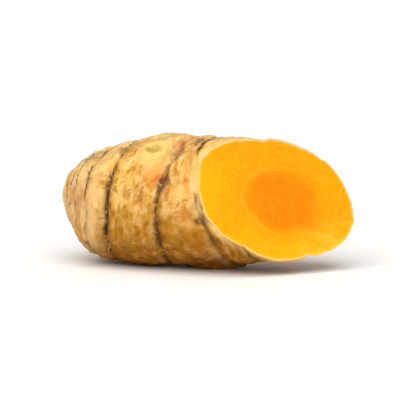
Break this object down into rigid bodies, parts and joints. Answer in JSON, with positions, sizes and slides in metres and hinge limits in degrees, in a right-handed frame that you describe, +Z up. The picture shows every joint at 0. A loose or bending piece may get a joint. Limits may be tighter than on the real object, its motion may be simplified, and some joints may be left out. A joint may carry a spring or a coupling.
{
  "type": "turmeric root",
  "caption": "Cut half of a thick fresh turmeric root: a ringed rhizome tip lying on its side, with a slanting flat knife cut, a bud, a broken side finger and short root stubs.",
  "frame": {"origin": "under the middle of the root, on the surface it lies on", "axes": "+X along the root from the rounded tip to the knife cut, -Y to the front, where the cut face looks, +Z up"},
  "size_m": [0.0604, 0.0292, 0.0276],
  "materials": {
    "turmeric": "matte"
  },
  "bodies": {
    "root": {"turmeric_root": "turmeric"}
  },
  "joints": []
}
